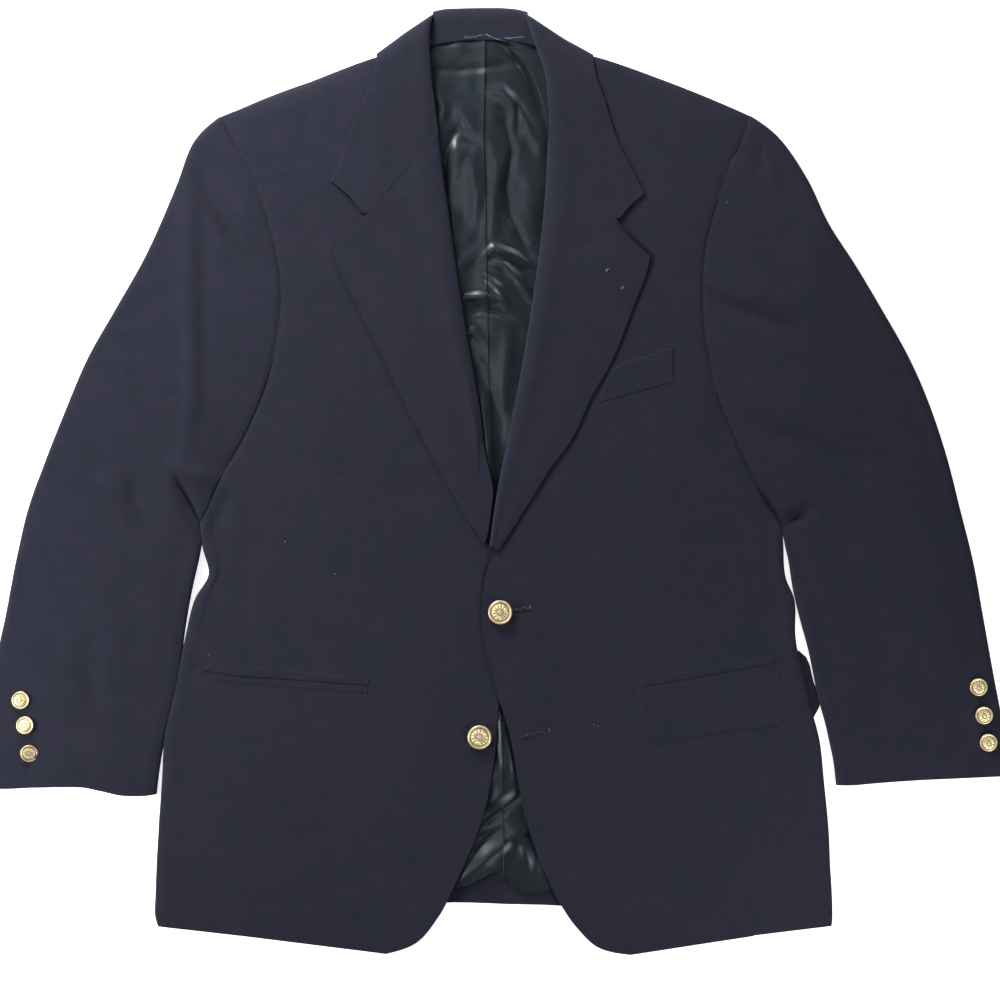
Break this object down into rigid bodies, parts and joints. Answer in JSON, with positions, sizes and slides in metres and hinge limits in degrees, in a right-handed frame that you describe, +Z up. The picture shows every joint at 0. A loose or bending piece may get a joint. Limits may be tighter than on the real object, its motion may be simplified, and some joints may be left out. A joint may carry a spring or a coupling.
{
  "type": "blazer",
  "caption": "Navy wool blazer with notch lapels, metal buttons and flap pockets, laid out flat on its back.",
  "frame": {"origin": "middle of the blazer's outline, on the surface that it lies on", "axes": "+X towards the wearer's left, +Y towards the collar, +Z up out of the front of the blazer"},
  "size_m": [0.94, 0.8705, 0.0167],
  "materials": {
    "navy_wool": "fine matt worsted twill",
    "satin_lining": "smooth satin sheen",
    "gilt_brass": "polished gilt with a darker recess"
  },
  "bodies": {
    "root": {"back_left": "navy_wool", "back_right": "navy_wool", "back_hem_turn_up": "navy_wool", "back_lining_left": "satin_lining", "back_lining_right": "satin_lining", "front_lining_left": "satin_lining", "side_panel_left": "navy_wool", "side_panel_right": "navy_wool", "front_left": "navy_wool", "front_right": "navy_wool", "lapel_left": "navy_wool", "lapel_right": "navy_wool", "collar_leaf_left": "navy_wool", "collar_leaf_right": "navy_wool", "collar_back": "navy_wool", "top_sleeve_left": "navy_wool", "top_sleeve_right": "navy_wool", "under_sleeve_left": "navy_wool", "under_sleeve_right": "navy_wool", "breast_pocket_welt": "navy_wool", "pocket_jet_left": "navy_wool", "pocket_flap_left": "navy_wool", "pocket_jet_right_upper": "navy_wool", "pocket_jet_right_lower": "navy_wool", "button_front_upper": "gilt_brass", "button_front_lower": "gilt_brass", "button_cuff_left_1": "gilt_brass", "button_cuff_left_2": "gilt_brass", "button_cuff_left_3": "gilt_brass", "button_cuff_right_1": "gilt_brass", "button_cuff_right_2": "gilt_brass", "button_cuff_right_3": "gilt_brass"}
  },
  "joints": []
}
